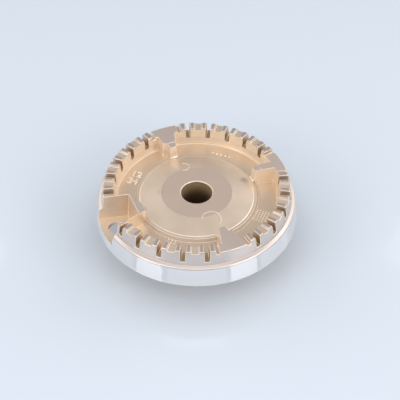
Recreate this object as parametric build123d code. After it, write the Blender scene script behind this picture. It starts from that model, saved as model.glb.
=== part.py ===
from build123d import *
import os
from math import asin, cos, degrees, radians, sin, tan

# Burner head of a gas hob, one aluminium casting, sizes in millimetres and degrees.
# Z is the burner axis, z = 0 is the end of the tube, the ports are on top.

# Skirt and ledge
SKIRT_DIAMETER = 75.0
SKIRT_HEIGHT = 7.6
SKIRT_FLARE = 8.0
WALL = 2.0
LEDGE_WIDTH = 1.3
LEDGE_RISE = 0.6
LEDGE_ROUND = 0.4

# Castellated ring
RING_HEIGHT = 6.4
RING_WIDTH = 3.75
RING_DRAFT_OUT = 9.0
RING_DRAFT_IN = 5.0
TOOTH_CHAMFER = 0.35

# Ports: groups of deep slots with shallow notches midway between them
SLOTS_PER_GROUP = 5
SLOT_WIDTH = 1.7
SLOT_DEPTH = 4.4
NOTCH_WIDTH = 2.6
NOTCH_DEPTH = 0.8

# Four lands between the groups, with a narrow groove at each end
FIRST_LAND = 22.5
LAND_HALF_ANGLE = 10.9
LAND_TO_SLOT = 5.4
GROOVE_WIDTH = 1.3
GROOVE_DEPTH = 1.6

# Gas channel and raised centre
CHANNEL_WIDTH = 7.0
CHANNEL_DEPTH = 0.8
CHANNEL_ROUND = 0.6
STEP_HEIGHT = 1.25
STEP_RUN = 0.75
SHELF_WIDTH = 0.85
SHELF_RISE = 0.2
SHELF_RUN = 0.25
CENTRE_RISE = 1.5
CENTRE_FLAT_DIAMETER = 26.4
BORE_DIAMETER = 11.4
BORE_ROUND = 0.6

# Tube under the centre
TUBE_LENGTH = 14.8
TUBE_WALL = 2.3
TUBE_CHAMFER = 0.6

# Bars from the lands across the channel, each with a lower nose at its inner end
BAR_REACH = 7.7
BAR_ROUND = 0.5
BAR_DRAFT = 5.0
NOSE_LENGTH = 2.65
NOSE_WIDTH = 2.6
NOSE_OFFSET = 0.2
NOSE_DROP = 0.2
WIDE_BAR_WIDTH = 7.5
SHOULDER_OFFSET = 3.1
SHOULDER_SLANT = 0.4
NARROW_BAR_WIDTH = 3.5
NARROW_BAR_OFFSET = -0.85

# Electrode recess in one land, the walls round it and the boss on its end wall
RECESS_REACH = 4.95
RECESS_WIDTH = 8.6
RECESS_SPREAD_LEFT = 12.4
RECESS_SPREAD_RIGHT = 16.6
RECESS_DEPTH = 4.2
RECESS_DRAFT = 6.0
RECESS_FLOOR = 1.6
RECESS_WALL = 1.6
END_WALL = 1.9
BOSS_THICKNESS = 3.7
BOSS_EDGE = 2.1
BOSS_SLANT = 2.4
ELECTRODE_HOLE = 6.0
ELECTRODE_INSET = 5.9

# Levels
z_rim = TUBE_LENGTH
z_ledge = z_rim + SKIRT_HEIGHT
z_foot = z_ledge + LEDGE_RISE
z_top = z_ledge + RING_HEIGHT
z_edge = z_top - TOOTH_CHAMFER
z_land = z_top - NOTCH_DEPTH
z_groove = z_top - GROOVE_DEPTH
z_slot = z_top - SLOT_DEPTH
z_channel = z_ledge - CHANNEL_DEPTH
z_shelf = z_channel + STEP_HEIGHT
z_step = z_shelf + SHELF_RISE
z_centre = z_step + CENTRE_RISE
z_roof = z_channel - WALL
z_recess = z_ledge - RECESS_DEPTH
z_plate = z_recess - RECESS_FLOOR

# Radii
lean_out = tan(radians(RING_DRAFT_OUT))
lean_in = tan(radians(RING_DRAFT_IN))
r_rim = SKIRT_DIAMETER / 2
r_ledge = r_rim - SKIRT_HEIGHT * tan(radians(SKIRT_FLARE))
r_foot = r_ledge - LEDGE_WIDTH
r_top = r_foot - (z_top - z_foot) * lean_out
r_ring = r_top - RING_WIDTH
r_gutter = r_ring - (z_top - z_channel) * lean_in
r_channel = r_gutter - CHANNEL_WIDTH
r_shelf = r_channel - STEP_RUN
r_riser = r_shelf - SHELF_WIDTH
r_step = r_riser - SHELF_RUN
r_flat = CENTRE_FLAT_DIAMETER / 2
r_bore = BORE_DIAMETER / 2
r_tube = r_bore + TUBE_WALL
r_root = r_ring + RING_WIDTH / 2
r_end = r_ring - BAR_REACH
r_nose = r_end + NOSE_LENGTH
r_recess = r_ring - RECESS_REACH
r_electrode = r_rim - ELECTRODE_INSET
r_reach = 2 * r_rim


def soften(points, rounds, facets=3):
    """Closed outline whose listed corners become curves that start a set-back away."""
    result = []
    for i, point in enumerate(points):
        corner = Vector(*point)
        before = (Vector(*points[i - 1]) - corner).normalized()
        after = (Vector(*points[(i + 1) % len(points)]) - corner).normalized()
        setback = rounds.get(point, 0)
        steps = [k / facets for k in range(facets + 1)] if setback else [0]
        curve = [corner + (before * (1 - t) ** 2 + after * t**2) * setback for t in steps]
        result += [(p.X, p.Y) for p in curve]
    return result


def spin(points, rounds):
    """Solid of revolution of an (r, z) outline with some corners rounded."""
    outline = [(r, 0, z) for r, z in soften(points, rounds)]
    return revolve(make_face(Polyline(outline, close=True)), Axis.Z)


def plan(points, angle, z):
    """Face of (radius, offset) points at a level, turned to an angle."""
    return Plane.XY.offset(z) * Rot(0, 0, angle) * make_face(Polyline(points, close=True))


def bar(points, angle):
    """Drafted bar up to the land level with rounded corners."""
    face = plan(soften(points, {point: BAR_ROUND for point in points}), angle, z_land)
    return extrude(face, z_land - z_roof, dir=(0, 0, -1), taper=-BAR_DRAFT)


def fan(r, right, left, r_far):
    """Corners of an outline that spreads to both sides of the recess from r to r_far."""
    far_right = right + (r_far - r) * tan(radians(RECESS_SPREAD_RIGHT))
    far_left = left + (r_far - r) * tan(radians(RECESS_SPREAD_LEFT))
    return (r_far, -far_left), (r_far, far_right)


def land_cut(half, angle):
    """Wedge that takes the ring down to the land level."""
    c, s = r_reach * cos(radians(half)), r_reach * sin(radians(half))
    return extrude(plan([(0, 0), (c, -s), (c, s)], angle, z_land), z_top)


def port(width, angle, z):
    """Radial cutter through the ring that flares to chamfer the edges it leaves on top."""
    w = width / 2
    half = [(w, z), (w, z_edge), (w + 2 * TOOTH_CHAMFER, z_top + TOOTH_CHAMFER)]
    section = half + [(-y, h) for y, h in reversed(half)]
    face = make_face(Polyline([(r_gutter - WALL, y, h) for y, h in section], close=True))
    return Rot(0, 0, angle) * extrude(face, r_rim, dir=(1, 0, 0))


# Turned body
outer = [
    (r_rim, z_rim),
    (r_ledge, z_ledge),
    (r_foot, z_foot),
    (r_top + TOOTH_CHAMFER * lean_out, z_edge),
    (r_top - TOOTH_CHAMFER, z_top),
]
inner = [
    (r_ring + TOOTH_CHAMFER, z_top),
    (r_ring - TOOTH_CHAMFER * lean_in, z_edge),
    (r_gutter, z_channel),
    (r_channel, z_channel),
    (r_shelf, z_shelf),
    (r_riser, z_shelf),
    (r_step, z_step),
    (r_flat, z_centre),
    (r_bore, z_centre),
    (r_bore, 0),
]
under = [
    (r_tube - TUBE_CHAMFER, 0),
    (r_tube, TUBE_CHAMFER),
    (r_tube, z_roof),
    (r_ledge - WALL, z_roof),
    (r_rim - WALL, z_rim),
]
outer_rounds = {(r_ledge, z_ledge): LEDGE_ROUND}
inner_rounds = {(r_gutter, z_channel): CHANNEL_ROUND, (r_bore, z_centre): BORE_ROUND}
head = spin(outer + inner + under, outer_rounds | inner_rounds)
envelope = spin([(0, z_rim)] + outer + [(0, z_top)], outer_rounds)

# Bars
lands = [FIRST_LAND + turn for turn in (0, 90, 180, 270)]
narrow, wide_a, recess, wide_b = lands
nose_left = NOSE_OFFSET - NOSE_WIDTH / 2
nose_right = NOSE_OFFSET + NOSE_WIDTH / 2
narrow_bar = [
    (r_end, nose_left),
    (r_root, NARROW_BAR_OFFSET - NARROW_BAR_WIDTH / 2),
    (r_root, NARROW_BAR_OFFSET + NARROW_BAR_WIDTH / 2),
    (r_end, nose_right),
]
wide_bar = [
    (r_end, nose_left),
    (r_root, -WIDE_BAR_WIDTH / 2),
    (r_root, WIDE_BAR_WIDTH / 2),
    (r_nose + SHOULDER_SLANT, SHOULDER_OFFSET),
    (r_nose, nose_right),
    (r_end, nose_right),
]
head += bar(narrow_bar, narrow)
head += bar(wide_bar, wide_a)
head += bar(wide_bar, wide_b)

# Block round the recess, with the boss on its end wall
side = RECESS_WIDTH / 2
block_side = side + RECESS_WALL
block = [
    (r_recess - BOSS_THICKNESS, BOSS_SLANT - BOSS_EDGE),
    (r_recess - END_WALL, -BOSS_EDGE),
    fan(r_recess, block_side, block_side, r_recess - END_WALL)[0],
    *fan(r_recess, block_side, block_side, r_reach),
    fan(r_recess, block_side, block_side, r_recess - BOSS_THICKNESS)[1],
]
head += extrude(plan(block, recess, z_plate), z_land - z_plate) & envelope
head -= Pos(0, 0, z_land - NOSE_DROP) * extrude(Circle(r_nose), z_top)

# Lands and ports
slot_turn = LAND_HALF_ANGLE + LAND_TO_SLOT
slot_pitch = (90 - 2 * slot_turn) / (SLOTS_PER_GROUP - 1)
groove_turn = LAND_HALF_ANGLE - degrees(asin(GROOVE_WIDTH / 2 / r_top))
for angle in lands:
    if angle == recess:
        head -= land_cut(slot_turn, angle)
    else:
        head -= land_cut(groove_turn, angle)
        head -= port(GROOVE_WIDTH, angle - groove_turn, z_groove)
        head -= port(GROOVE_WIDTH, angle + groove_turn, z_groove)
    for k in range(SLOTS_PER_GROUP):
        turn = angle + slot_turn + k * slot_pitch
        head -= port(SLOT_WIDTH, turn, z_slot)
        if k:
            head -= port(NOTCH_WIDTH, turn - slot_pitch / 2, z_land)

# Electrode recess and hole
floor = [(r_recess, side), (r_recess, -side), *fan(r_recess, side, side, r_reach)]
head -= extrude(plan(floor, recess, z_recess), z_top, taper=-RECESS_DRAFT)
head -= Rot(0, 0, recess) * Pos(r_electrode, 0, 0) * extrude(Circle(ELECTRODE_HOLE / 2), z_ledge)

head.label = "burner_head"
print(len(head.solids()), head.volume, head.bounding_box())
os.makedirs("parts", exist_ok=True)
export_step(head, "parts/burner_head.step")
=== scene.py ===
from math import cos, pi, radians, sin, tan

import bmesh
import bpy
from mathutils import Matrix, Vector


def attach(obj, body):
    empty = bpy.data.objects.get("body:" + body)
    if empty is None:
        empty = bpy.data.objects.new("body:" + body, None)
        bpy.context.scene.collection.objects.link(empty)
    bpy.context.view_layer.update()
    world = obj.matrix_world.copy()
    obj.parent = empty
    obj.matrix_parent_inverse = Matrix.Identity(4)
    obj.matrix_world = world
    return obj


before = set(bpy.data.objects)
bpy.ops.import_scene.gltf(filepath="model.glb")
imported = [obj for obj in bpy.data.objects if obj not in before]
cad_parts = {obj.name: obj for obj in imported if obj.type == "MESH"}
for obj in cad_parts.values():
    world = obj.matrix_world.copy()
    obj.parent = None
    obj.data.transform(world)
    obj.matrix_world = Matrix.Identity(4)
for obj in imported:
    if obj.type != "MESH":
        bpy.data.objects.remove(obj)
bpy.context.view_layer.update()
scene = bpy.context.scene
scene.view_settings.view_transform = "Standard"
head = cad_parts["burner_head"]

# Sizes of the casting in metres, as in the part's source
MM = 0.001
R_RIM = 37.5 * MM
R_FOOT = 35.13 * MM
R_RING = 30.46 * MM
R_NOSE = 25.41 * MM
R_SHELF = 22.08 * MM
R_STEP = 20.98 * MM
R_FLAT = 13.2 * MM
R_BORE = 5.7 * MM
Z_RIM = 14.8 * MM
Z_RECESS = 18.2 * MM
Z_CHANNEL = 21.6 * MM
Z_LEDGE = 22.4 * MM
Z_FOOT = 23.0 * MM
Z_STEP = 23.05 * MM
Z_SLOT = 24.4 * MM
Z_CENTRE = 24.55 * MM
Z_LAND = 28.0 * MM
Z_TOP = 28.8 * MM
SKIRT_LEAN = tan(radians(8))
RING_LEAN_OUT = tan(radians(9))
RING_LEAN_IN = tan(radians(5))
RECESS_ANGLE = radians(202.5)
RECESS_HALF_WIDTH = 8.0 * MM

# Turn from land to land, and the directions of the three bars in degrees
LAND_PITCH = radians(90)
BARS = (22.5, 112.5, 292.5)

# Clean-up of the mesh before its edges are eased
WELD_GAP = 0.002 * MM
PLAIN_BEND = radians(0.6)

# Widths of the eased edges by place: radii, levels, bends and width, later rows over earlier ones
NEAR = 0.25 * MM
ALL = (-1.0, 1.0)
HARD = (radians(40), pi)
SOFT = (radians(6), radians(70))
BAR_RADII = (R_SHELF + NEAR, R_RING - 3 * NEAR)
LAND_LEVELS = (Z_LAND - 2 * NEAR, Z_LAND + 0.1 * MM)
EASED = {
    "edges": (ALL, ALL, HARD, 0.2 * MM),
    "ring_foot": ((R_FOOT - NEAR, R_RIM), (Z_FOOT - NEAR, Z_FOOT + NEAR), HARD, 0.05 * MM),
    "slot_ends": ((R_RING - MM, R_RING - 0.16 * MM), (Z_SLOT - NEAR, Z_SLOT + NEAR), HARD, 0.05 * MM),
    "groove_ends": ((R_RING - 0.36 * MM, R_RING + 2 * NEAR), LAND_LEVELS, HARD, 0.08 * MM),
    "bar_tops": (BAR_RADII, LAND_LEVELS, HARD, 0.15 * MM),
    "nose_steps": ((R_NOSE - 0.3 * MM, R_NOSE + 0.3 * MM), LAND_LEVELS, HARD, 0.04 * MM),
    "bar_feet": (BAR_RADII, (0.0, Z_LEDGE), HARD, 0.1 * MM),
    "recess_floor": (ALL, (Z_RIM + MM, Z_RECESS + NEAR), HARD, 0.1 * MM),
    "recess_ends": ((R_FOOT, R_RIM), (Z_RECESS, Z_LEDGE - NEAR), HARD, 0.1 * MM),
    "nose_feet": ((R_FLAT, R_SHELF + 3 * NEAR), (Z_CHANNEL + NEAR, Z_STEP + NEAR), HARD, 0.05 * MM),
    "centre": ((R_FLAT - NEAR, R_SHELF + NEAR), ALL, SOFT, 0.12 * MM),
}
WIDEST = max(row[-1] for row in EASED.values())
EASE_SEGMENTS = 2

# Where each finish, painted shade and painted light lies: ramps that are multiplied, each with the
# measure it follows, the limit where it is 0 and the limit where it is 1
PLACES = {
    "on_floor": [
        ("radius", R_SHELF, R_SHELF + 1 * MM),
        ("level", Z_CHANNEL + 0.5 * MM, Z_CHANNEL + 0.2 * MM),
        ("level", Z_CHANNEL - 1 * MM, Z_CHANNEL - 0.5 * MM),
    ],
    # Painted light: the upright walls round the channel are made lighter and less metallic
    "wall_painted_light": [
        ("flatness", 0.3, 0.2),
        ("radius", R_SHELF, R_SHELF + 1 * MM),
        ("ring_in", R_RING + 0.30 * MM, R_RING + 0.15 * MM),
        ("level", Z_CHANNEL + 0.2 * MM, Z_CHANNEL + 0.8 * MM),
    ],
    "on_flat": [
        ("radius", R_FLAT + 0.1 * MM, R_FLAT - 0.1 * MM),
        ("level", Z_CENTRE - 0.2 * MM, Z_CENTRE - 0.1 * MM),
    ],
    "on_land": [
        ("level", Z_LAND - 0.35 * MM, Z_LAND - 0.25 * MM),
        ("turn", radians(15.5), radians(15)),
    ],
    # Painted shade: all above the lands, the teeth, is made darker to dim their highlights
    "tooth_painted_shade": [
        ("level", Z_LAND + 0.4 * MM, Z_LAND + 0.5 * MM),
    ],
    # Painted shade: the slope from the shelf down to the channel floor is made darker, duller and
    # rougher
    "step_foot_painted_shade": [
        ("radius", R_SHELF + 0.02 * MM, R_SHELF + 0.15 * MM),
        ("radius", R_SHELF + 2.0 * MM, R_SHELF + 0.8 * MM),
        ("level", Z_STEP, Z_LEDGE + 0.3 * MM),
        ("level", Z_CHANNEL - 1 * MM, Z_CHANNEL - 0.5 * MM),
    ],
    # Painted shade on the back of the raised centre, which faces away from the light
    "back_painted_shade": [
        ("y", 13 * MM, 19 * MM),
        ("level", Z_LEDGE, Z_STEP),
        ("level", Z_CENTRE + 1 * MM, Z_CENTRE),
    ],
    # Painted shade: the slots are made darker brown deeper down inside the ring
    "slot_painted_shade": [
        ("ring_in", R_RING, R_RING + 0.6 * MM),
        ("ring_out", R_FOOT, R_FOOT - 0.4 * MM),
        ("level", Z_TOP - 0.9 * MM, Z_TOP - 2.6 * MM),
    ],
    # Painted shade: the bore is made brown below its lip and near black deeper down
    "bore_lip_painted_shade": [
        ("radius", R_BORE + 0.5 * MM, R_BORE + 0.1 * MM),
        ("level", Z_CENTRE - 0.3 * MM, Z_CENTRE - 1.5 * MM),
    ],
    "bore_painted_shade": [
        ("radius", R_BORE + 0.5 * MM, R_BORE + 0.1 * MM),
        ("level", Z_CENTRE - 1 * MM, Z_CENTRE - 8 * MM),
    ],
    "on_ring": [
        ("ring_out", R_FOOT - 0.30 * MM, R_FOOT - 0.15 * MM),
        ("level", Z_LEDGE - 0.4 * MM, Z_LEDGE - 0.3 * MM),
    ],
    "on_skirt": [
        ("skirt", R_RIM - 0.30 * MM, R_RIM - 0.15 * MM),
        ("level", Z_LEDGE - 0.3 * MM, Z_LEDGE - 0.4 * MM),
    ],
}

# Painted light on the walls and painted shade in the slots, which stop short of the recess, and the
# widths over which they fade
OUTSIDE_RECESS = ("slot_painted_shade", "wall_painted_light")
RECESS_FADE = 1 * MM
AXIS_FADE = 2 * MM

# Dark smudges left by handling: place, radius and strength
SMUDGES = [
    ((17.7 * MM, 7.6 * MM, 23.5 * MM), 2.4 * MM, 1.0),
    ((-13.6 * MM, 0.1 * MM, 24.5 * MM), 2.2 * MM, 0.35),
    ((-19.5 * MM, -7.5 * MM, 23.3 * MM), 2.0 * MM, 0.6),
]
SMUDGE_CORE = 0.1
# Strength of the painted shade on the back of the raised centre, then of that shade and the smudges
# together
BACK_SHADE_STRENGTH = 0.3
SMUDGE_AND_SHADE_STRENGTH = 0.7

# Colours of the bare casting, and of the finishes, painted shade and painted light, later ones over
# earlier ones
CAST_COLOURS = ((0.79, 0.643, 0.508, 1), (0.83, 0.683, 0.548, 1))
FINISH_COLOURS = {
    "on_floor": (0.79, 0.638, 0.495, 1),
    # Painted light on the upright walls round the channel
    "wall_painted_light": (0.86, 0.72, 0.565, 1),
    "on_flat": (0.79, 0.63, 0.525, 1),
    "on_land": (0.74, 0.615, 0.545, 1),
    # Painted shade on the teeth
    "tooth_painted_shade": (0.57, 0.475, 0.43, 1),
    # Painted shade at the foot of the step
    "step_foot_painted_shade": (0.62, 0.51, 0.42, 1),
    # Colour of the smudges, and of the painted shade on the back of the raised centre
    "smudges_and_shade": (0.42, 0.35, 0.32, 1),
    # Painted shade in the slots
    "slot_painted_shade": (0.56, 0.41, 0.26, 1),
    # Painted shade in the bore
    "bore_lip_painted_shade": (0.44, 0.30, 0.165, 1),
    "bore_painted_shade": (0.14, 0.085, 0.045, 1),
    "on_ring": (0.72, 0.63, 0.58, 1),
    "on_skirt": (0.83, 0.80, 0.79, 1),
}

# Metallic value and roughness of the bare casting, and what the masks add to them
METALLIC = 0.88
# Metallic lowered on the painted-light walls and where shade is painted at the step's foot and in the
# bore
METALLIC_SHIFTS = {"turned": 0.12, "wall_painted_light": -0.3, "painted_shade_dulled": -0.5}
ROUGHNESS = 0.37
ROUGHNESS_SHIFTS = {"cloud": 0.10, "step_foot_painted_shade": 0.2, "on_ring": -0.08, "on_skirt": -0.38}
LEAST_ROUGHNESS = 0.05

# Noise in the casting: scale and detail, and the grain's strength and height as a bump
CLOUD = (120.0, 4.0)
CLOUD_SPREAD = 0.15
GRAIN = (2500.0, 4.0)
GRAIN_STRENGTH = 0.12
GRAIN_HEIGHT = 0.1 * MM

# Turning lines on the skirt and the ring's outer wall
TURNING_PITCH = 0.4 * MM
TURNING_DEPTH = 0.0008 * MM
TURNING_WAVER = 0.2 * MM

# Rubbed metal and painted highlight on the eased edges, a dimmer painted highlight on the teeth
WEAR = (900.0, 3.0)
WEAR_SPREAD = 0.1
RUBBED_HIGHLIGHT_COLOURS = ((0.86, 0.73, 0.59, 1), (0.94, 0.83, 0.70, 1))
RUBBED_TOOTH_HIGHLIGHT = (0.62, 0.515, 0.445, 1)
RUBBED_TOOTH_LEVELS = (Z_LAND + 0.1 * MM, Z_LAND + 0.3 * MM)
RUBBED_METALLIC = 0.85
RUBBED_ROUGHNESS = 0.32

# Painted highlight on the raised marks: a bright colour all over them
SPECK = (1500.0, 3.0)
SPECK_SPREAD = 0.15
MARK_HIGHLIGHT_COLOURS = ((0.88, 0.76, 0.62, 1), (0.96, 0.86, 0.74, 1))
MARK_METALLIC = 0.45
MARK_ROUGHNESS = 0.4

# Raised digits on the channel floor
DIGIT_SIZE = 4.3 * MM
DIGIT_TURN = radians(-18)
DIGIT_INSET = -0.05 * MM
DIGIT_HEIGHT = 0.2 * MM
DIGIT_ROUND = 0.16 * MM
DIGIT_ROUND_STEPS = 3

# Fine arcs on the raised centre
BEAD_RADIUS = 0.1 * MM
BEAD_STEPS = 28

# Fillet at a nose's foot: radius, place, and offsets across the bar with shares of the radius
FILLET_RADIUS = 0.4 * MM
R_FILLET = R_SHELF + 0.15 * MM
FILLET_SPANS = [(-1.5 * MM, 0.2), (-1.2 * MM, 0.8), (0.2 * MM, 1.0), (1.6 * MM, 0.8), (1.9 * MM, 0.2)]

# Floor, and the light from all round
FLOOR_SIZE = 6
FLOOR_COLOUR = (0.66, 0.72, 0.80, 1)
FLOOR_ROUGHNESS = 0.05
SKY_COLOUR = (0.97, 0.98, 1.0, 1)
SKY_STRENGTH = 0.43

# Lamps: azimuth from -Y and elevation in degrees, distance, width and height in metres, watts
LAMPS = {
    "overhead": (0, 84, 0.8, 0.8, 0.8, 0.8),
    "front": (0, 46, 0.9, 0.9, 0.9, 2.0),
    "left": (-50, 30, 0.9, 0.40, 0.45, 1.85),
    "right": (50, 30, 0.9, 0.40, 0.45, 2.0),
    "side_left": (-92, 34, 0.9, 0.6, 0.6, 1.1),
    "side_right": (92, 34, 0.9, 0.6, 0.6, 1.5),
    "back_left": (-132, 28, 1.0, 0.8, 0.8, 1.6),
    "back_right": (132, 28, 1.0, 0.8, 0.8, 1.8),
}

# Camera at the photograph's viewing angle
CAMERA_LENS = 106.26
CAMERA_SHIFT_X = 0.0083
CAMERA_SHIFT_Y = -0.0094
CAMERA_TILT = radians(44.72)
CAMERA_DISTANCE = 436.4 * MM
Z_AIM = 22.36 * MM


class Nodes:
    """Short calls to add and link nodes in one node tree."""

    def __init__(self, tree, prefix="ShaderNode"):
        self.tree = tree
        self.prefix = prefix

    def add(self, kind, inputs=(), **props):
        known = kind.startswith(("ShaderNode", "GeometryNode", "NodeGroup"))
        node = self.tree.nodes.new(kind if known else self.prefix + kind)
        for key, value in props.items():
            setattr(node, key, value)
        for key, value in dict(inputs).items():
            self.put(node.inputs[key], value)
        return node

    def put(self, socket, value):
        if isinstance(value, bpy.types.NodeSocket):
            self.tree.links.new(value, socket)
        else:
            socket.default_value = value

    def math(self, operation, a, b=0.0):
        return self.add("ShaderNodeMath", {0: a, 1: b}, operation=operation).outputs[0]

    def times(self, *factors):
        result = factors[0]
        for factor in factors[1:]:
            result = self.math("MULTIPLY", result, factor)
        return result

    def plus(self, *terms):
        result = terms[0]
        for term in terms[1:]:
            result = self.math("ADD", result, term)
        return result

    def ramp(self, value, low, high):
        """0 at low, 1 at high, smooth between them."""
        inputs = {0: value, 1: low, 2: high}
        return self.add("MapRange", inputs, interpolation_type="SMOOTHSTEP").outputs[0]

    def mix(self, factor, a, b):
        return self.add("Mix", {0: factor, 6: a, 7: b}, data_type="RGBA").outputs[2]

    def noise(self, place, scale, detail):
        return self.add("TexNoise", {"Vector": place, "Scale": scale, "Detail": detail}).outputs[0]

    def mottle(self, noise, spread, colours):
        """Two colours in blotches whose edges are as soft as the spread is wide."""
        return self.mix(self.ramp(noise, 0.5 - spread, 0.5 + spread), *colours)

    def shifted(self, base, shifts, masks):
        """Base value with the shift of each mask added where the mask lies."""
        return self.plus(base, *(self.times(masks[name], shift) for name, shift in shifts.items()))


def material(name):
    """New material with its node calls and its main shader."""
    mat = bpy.data.materials.new(name)
    mat.use_nodes = True
    return mat, Nodes(mat.node_tree), mat.node_tree.nodes["Principled BSDF"]


def finish_masks(n, place):
    """Masks of the finishes, painted shade and painted light by name, 1 where each lies and 0
    elsewhere.
    """
    x, y, z = n.add("SeparateXYZ", {0: place}).outputs
    r = n.math("SQRT", n.plus(n.times(x, x), n.times(y, y)))
    normal = n.add("NewGeometry").outputs["True Normal"]
    normal_z = n.add("SeparateXYZ", {0: normal}).outputs[2]
    from_bar = n.plus(n.math("ARCTAN2", y, x), -radians(BARS[0]))

    # The last three are radii without the lean of a wall, so that the whole wall has one value
    measures = {
        "y": y,
        "level": z,
        "radius": r,
        "flatness": n.math("ABSOLUTE", normal_z),
        "turn": n.math("PINGPONG", from_bar, LAND_PITCH / 2),
        "skirt": n.plus(r, n.times(n.plus(z, -Z_RIM), SKIRT_LEAN)),
        "ring_out": n.plus(r, n.times(n.plus(z, -Z_FOOT), RING_LEAN_OUT)),
        "ring_in": n.plus(r, n.times(n.plus(z, -Z_TOP), -RING_LEAN_IN)),
    }
    masks = {}
    for name, ramps in PLACES.items():
        masks[name] = n.times(*(n.ramp(measures[key], low, high) for key, low, high in ramps))

    along = n.plus(n.times(x, cos(RECESS_ANGLE)), n.times(y, sin(RECESS_ANGLE)))
    across = n.plus(n.times(y, cos(RECESS_ANGLE)), n.times(x, -sin(RECESS_ANGLE)))
    beside = n.ramp(n.math("ABSOLUTE", across), RECESS_HALF_WIDTH, RECESS_HALF_WIDTH + RECESS_FADE)
    clear = n.math("MAXIMUM", beside, n.ramp(along, AXIS_FADE, 0.0))
    for name in OUTSIDE_RECESS:
        masks[name] = n.times(masks[name], clear)

    # Painted shade on the back of the raised centre, with the dark smudges where they are darker
    smudges_and_shade = n.times(masks["back_painted_shade"], BACK_SHADE_STRENGTH)
    for spot, size, strength in SMUDGES:
        gap = n.add("VectorMath", {0: place, 1: spot}, operation="DISTANCE").outputs["Value"]
        smudge = n.times(n.ramp(gap, size, SMUDGE_CORE * size), strength)
        smudges_and_shade = n.math("MAXIMUM", smudges_and_shade, smudge)
    masks["smudges_and_shade"] = n.times(smudges_and_shade, SMUDGE_AND_SHADE_STRENGTH)
    masks["turned"] = n.math("MAXIMUM", masks["on_ring"], masks["on_skirt"])
    # Metal duller where shade is painted at the step's foot and in the bore
    masks["painted_shade_dulled"] = n.math("MAXIMUM", masks["step_foot_painted_shade"], masks["bore_lip_painted_shade"])
    return masks


def cast_metal():
    """Satin casting with its turned, ground and smudged places, and its painted shade and painted
    light.
    """
    mat, n, bsdf = material("cast_aluminium_satin")
    place = n.add("TexCoord").outputs["Object"]
    z = n.add("SeparateXYZ", {0: place}).outputs[2]
    cloud = n.noise(place, *CLOUD)
    grain = n.noise(place, *GRAIN)
    masks = finish_masks(n, place)
    masks["cloud"] = cloud

    colour = n.mottle(cloud, CLOUD_SPREAD, CAST_COLOURS)
    for name, finish in FINISH_COLOURS.items():
        colour = n.mix(masks[name], colour, finish)
    n.put(bsdf.inputs["Base Color"], colour)
    n.put(bsdf.inputs["Metallic"], n.shifted(METALLIC, METALLIC_SHIFTS, masks))
    rough = n.shifted(ROUGHNESS, ROUGHNESS_SHIFTS, masks)
    n.put(bsdf.inputs["Roughness"], n.math("MAXIMUM", rough, LEAST_ROUGHNESS))

    # Grain where the casting is bare, fine lines where it is turned
    bare = n.math("SUBTRACT", 1.0, masks["turned"])
    strength = n.times(bare, GRAIN_STRENGTH)
    skin = n.add("Bump", {"Strength": strength, "Distance": GRAIN_HEIGHT, "Height": grain})
    wavering = n.plus(z, n.times(cloud, TURNING_WAVER))
    wave = n.math("SINE", n.times(wavering, 2 * pi / TURNING_PITCH))
    lines = n.add("Bump", {"Strength": masks["turned"], "Distance": TURNING_DEPTH, "Height": wave})
    n.put(lines.inputs["Normal"], skin.outputs[0])
    n.put(bsdf.inputs["Normal"], lines.outputs[0])
    return mat


def edge_metal():
    """Rubbed metal with a painted highlight on the eased edges, on the concave ones too."""
    mat, n, bsdf = material("cast_aluminium_rubbed_highlight")
    place = n.add("TexCoord").outputs["Object"]
    z = n.add("SeparateXYZ", {0: place}).outputs[2]
    colour = n.mottle(n.noise(place, *WEAR), WEAR_SPREAD, RUBBED_HIGHLIGHT_COLOURS)
    colour = n.mix(n.ramp(z, *RUBBED_TOOTH_LEVELS), colour, RUBBED_TOOTH_HIGHLIGHT)
    n.put(bsdf.inputs["Base Color"], colour)
    n.put(bsdf.inputs["Metallic"], RUBBED_METALLIC)
    n.put(bsdf.inputs["Roughness"], RUBBED_ROUGHNESS)
    return mat


def mark_metal():
    """Painted highlight on the raised marks: a bright colour all over them."""
    mat, n, bsdf = material("cast_aluminium_marks")
    place = n.add("TexCoord").outputs["Object"]
    colour = n.mottle(n.noise(place, *SPECK), SPECK_SPREAD, MARK_HIGHLIGHT_COLOURS)
    n.put(bsdf.inputs["Base Color"], colour)
    n.put(bsdf.inputs["Metallic"], MARK_METALLIC)
    n.put(bsdf.inputs["Roughness"], MARK_ROUGHNESS)
    return mat


def floor_material():
    """Plain pale floor, smooth enough to mirror the skirt."""
    mat, n, bsdf = material("floor_pale")
    n.put(bsdf.inputs["Base Color"], FLOOR_COLOUR)
    n.put(bsdf.inputs["Roughness"], FLOOR_ROUGHNESS)
    return mat


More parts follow.
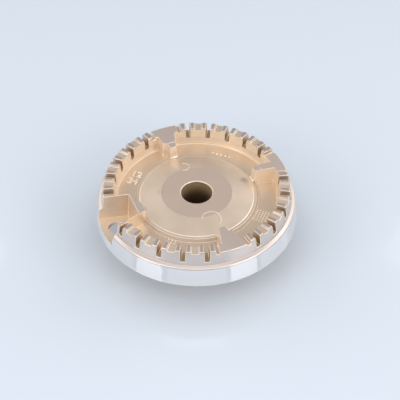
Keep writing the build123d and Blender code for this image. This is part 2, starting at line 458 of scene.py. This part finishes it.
def edge_weights():
    """Geometry nodes that set how far each edge is eased, as a share of the widest easing."""
    group = bpy.data.node_groups.new("edge_weights", "GeometryNodeTree")
    for way in ("INPUT", "OUTPUT"):
        group.interface.new_socket("Geometry", in_out=way, socket_type="NodeSocketGeometry")
    n = Nodes(group, "GeometryNode")
    place = n.add("InputPosition").outputs[0]
    z = n.add("ShaderNodeSeparateXYZ", {0: place}).outputs[2]
    plan = n.add("ShaderNodeVectorMath", {0: place, 1: (1, 1, 0)}, operation="MULTIPLY").outputs[0]
    r = n.add("ShaderNodeVectorMath", {0: plan}, operation="LENGTH").outputs["Value"]
    bend = n.add("InputMeshEdgeAngle").outputs[0]

    def between(value, limits):
        low, high = limits
        return n.times(n.math("GREATER_THAN", value, low), n.math("LESS_THAN", value, high))

    weight = 0.0
    for radii, levels, bends, width in EASED.values():
        here = n.times(between(r, radii), between(z, levels), between(bend, bends))
        elsewhere = n.math("SUBTRACT", 1.0, here)
        weight = n.plus(n.times(weight, elsewhere), n.times(here, width / WIDEST))
    store = n.add("StoreNamedAttribute", data_type="FLOAT", domain="EDGE")
    n.put(store.inputs["Geometry"], n.add("NodeGroupInput").outputs[0])
    n.put(store.inputs["Name"], "bevel_weight_edge")
    n.put(store.inputs["Value"], weight)
    n.add("NodeGroupOutput", {0: store.outputs[0]})
    return group


def add_piece(name, data, mat, location=(0, 0, 0), turn=0.0):
    """Piece of the casting's metal that rides with it."""
    data.materials.append(mat)
    obj = bpy.data.objects.new(name, data)
    obj.location = location
    obj.rotation_euler = (0, 0, turn)
    scene.collection.objects.link(obj)
    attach(obj, "root")


def raised_digits(name, digits, x, y):
    """Digits that stand up from the channel floor."""
    text = bpy.data.curves.new(name, "FONT")
    text.body = digits
    text.size = DIGIT_SIZE
    text.align_x = "CENTER"
    text.align_y = "CENTER"
    text.offset = DIGIT_INSET
    text.extrude = DIGIT_HEIGHT
    text.bevel_depth = DIGIT_ROUND
    text.bevel_resolution = DIGIT_ROUND_STEPS
    add_piece(name, text, bright, (x, y, Z_CHANNEL), DIGIT_TURN)


def pips(name, angle, radius, rows, columns, pitch, size):
    """Raised dots on the channel floor, in rows that run outward from the axis."""
    mesh = bpy.data.meshes.new(name)
    bm = bmesh.new()
    for i in range(rows):
        for j in range(columns):
            across = (i - (rows - 1) / 2) * pitch
            along = radius + (j - (columns - 1) / 2) * pitch
            dot = Matrix.Rotation(angle, 4, "Z") @ Matrix.Translation((along, across, Z_CHANNEL))
            dot = dot @ Matrix.Diagonal((size, size, size, 1))
            bmesh.ops.create_uvsphere(bm, u_segments=12, v_segments=8, radius=0.5, matrix=dot)
    for face in bm.faces:
        face.smooth = True
    bm.to_mesh(mesh)
    bm.free()
    add_piece(name, mesh, bright)


def round_line(name, radius, points, mat, capped=False):
    """Round line of metal through points, each with its own share of the radius."""
    curve = bpy.data.curves.new(name, "CURVE")
    curve.dimensions = "3D"
    curve.bevel_depth = radius
    curve.use_fill_caps = capped
    line = curve.splines.new("POLY")
    line.points.add(len(points) - 1)
    for point, (spot, share) in zip(line.points, points):
        point.co = (*spot, 1)
        point.radius = share
    add_piece(name, curve, mat)


def bead(name, x, y, radius, start, end):
    """Fine raised arc left by an ejector pin on the raised centre."""
    fall = (Z_CENTRE - Z_STEP) / (R_STEP - R_FLAT)
    points = []
    for k in range(BEAD_STEPS + 1):
        angle = start + (end - start) * k / BEAD_STEPS
        spot = Vector((x + radius * cos(angle), y + radius * sin(angle), Z_CENTRE))
        spot.z -= max(0.0, spot.xy.length - R_FLAT) * fall
        points.append((spot, 1.0))
    round_line(name, BEAD_RADIUS, points, bright)


def nose_fillet(name, angle):
    """Round of metal where the end of a bar's nose stands on the shelf, thinner at its ends."""
    turn = Matrix.Rotation(angle, 3, "Z")
    points = [(turn @ Vector((R_FILLET, across, Z_STEP)), share) for across, share in FILLET_SPANS]
    # Painted highlight: the fillet has the bright colour of the eased edges
    round_line(name, FILLET_RADIUS, points, rubbed_and_highlight, capped=True)


def softbox(name, azimuth, elevation, distance, width, height, watts):
    """Rectangular lamp that faces the object."""
    a = radians(azimuth)
    e = radians(elevation)
    lamp = bpy.data.lights.new(name, "AREA")
    lamp.shape = "RECTANGLE"
    lamp.size = width
    lamp.size_y = height
    lamp.energy = watts
    obj = bpy.data.objects.new(name, lamp)
    out = Vector((sin(a) * cos(e), -cos(a) * cos(e), sin(e)))
    obj.location = Vector((0, 0, Z_LEDGE)) + out * distance
    obj.rotation_euler = (-out).to_track_quat("-Z", "Y").to_euler()
    scene.collection.objects.link(obj)


# Metal of the casting, the second one on its eased edges
metal = cast_metal()
rubbed_and_highlight = edge_metal()
bright = mark_metal()
head.data.materials.clear()
head.data.materials.append(metal)
head.data.materials.append(rubbed_and_highlight)

# Edges eased as on a tumbled casting
head.data.shade_smooth()
weld = head.modifiers.new("weld", "WELD")
weld.merge_threshold = WELD_GAP
plain = head.modifiers.new("plain_faces", "DECIMATE")
plain.decimate_type = "DISSOLVE"
plain.angle_limit = PLAIN_BEND
weights = head.modifiers.new("edge_weights", "NODES")
weights.node_group = edge_weights()
ease = head.modifiers.new("eased_edges", "BEVEL")
ease.width = WIDEST
ease.segments = EASE_SEGMENTS
ease.limit_method = "WEIGHT"
ease.use_clamp_overlap = False
# The eased edges take the second material, rubbed metal with a painted highlight
ease.material = 1
head.modifiers.new("normals", "WEIGHTED_NORMAL")

# Plain cast marks, ejector arcs and the fillets of the noses
raised_digits("digits_upper", "12", x=-22.65 * MM, y=12.3 * MM)
raised_digits("digits_lower", "34", x=-24.1 * MM, y=8.7 * MM)
pips("pips_right", radians(338), 25.4 * MM, rows=6, columns=5, pitch=1.05 * MM, size=0.6 * MM)
pips("pips_back", radians(68), 25.1 * MM, rows=5, columns=1, pitch=1.7 * MM, size=0.8 * MM)
pips("pips_front", radians(248), 24.0 * MM, rows=3, columns=2, pitch=1.3 * MM, size=0.8 * MM)
bead("bead_back", -4.9 * MM, 13.9 * MM, radius=2.2 * MM, start=radians(100), end=radians(-100))
for bar in BARS:
    nose_fillet(f"fillet_{bar}", radians(bar))
bead("bead_front", 5.4 * MM, -13.6 * MM, radius=3.5 * MM, start=radians(185), end=radians(-35))

# Floor and light
bpy.ops.mesh.primitive_plane_add(size=FLOOR_SIZE)
floor = bpy.context.object
floor.name = "floor"
floor.data.materials.append(floor_material())

for lamp_name, row in LAMPS.items():
    softbox(lamp_name, *row)

world = bpy.data.worlds.new("studio")
scene.world = world
world.use_nodes = True
sky = world.node_tree.nodes["Background"]
sky.inputs["Color"].default_value = SKY_COLOUR
sky.inputs["Strength"].default_value = SKY_STRENGTH

# Camera
camera = bpy.data.cameras.new("camera")
camera.lens = CAMERA_LENS
camera.shift_x = CAMERA_SHIFT_X
camera.shift_y = CAMERA_SHIFT_Y
cam = bpy.data.objects.new("camera", camera)
back = Vector((0, -cos(CAMERA_TILT), sin(CAMERA_TILT)))
cam.location = Vector((0, 0, Z_AIM)) + back * CAMERA_DISTANCE
cam.rotation_euler = (-back).to_track_quat("-Z", "Y").to_euler()
scene.collection.objects.link(cam)
scene.camera = cam
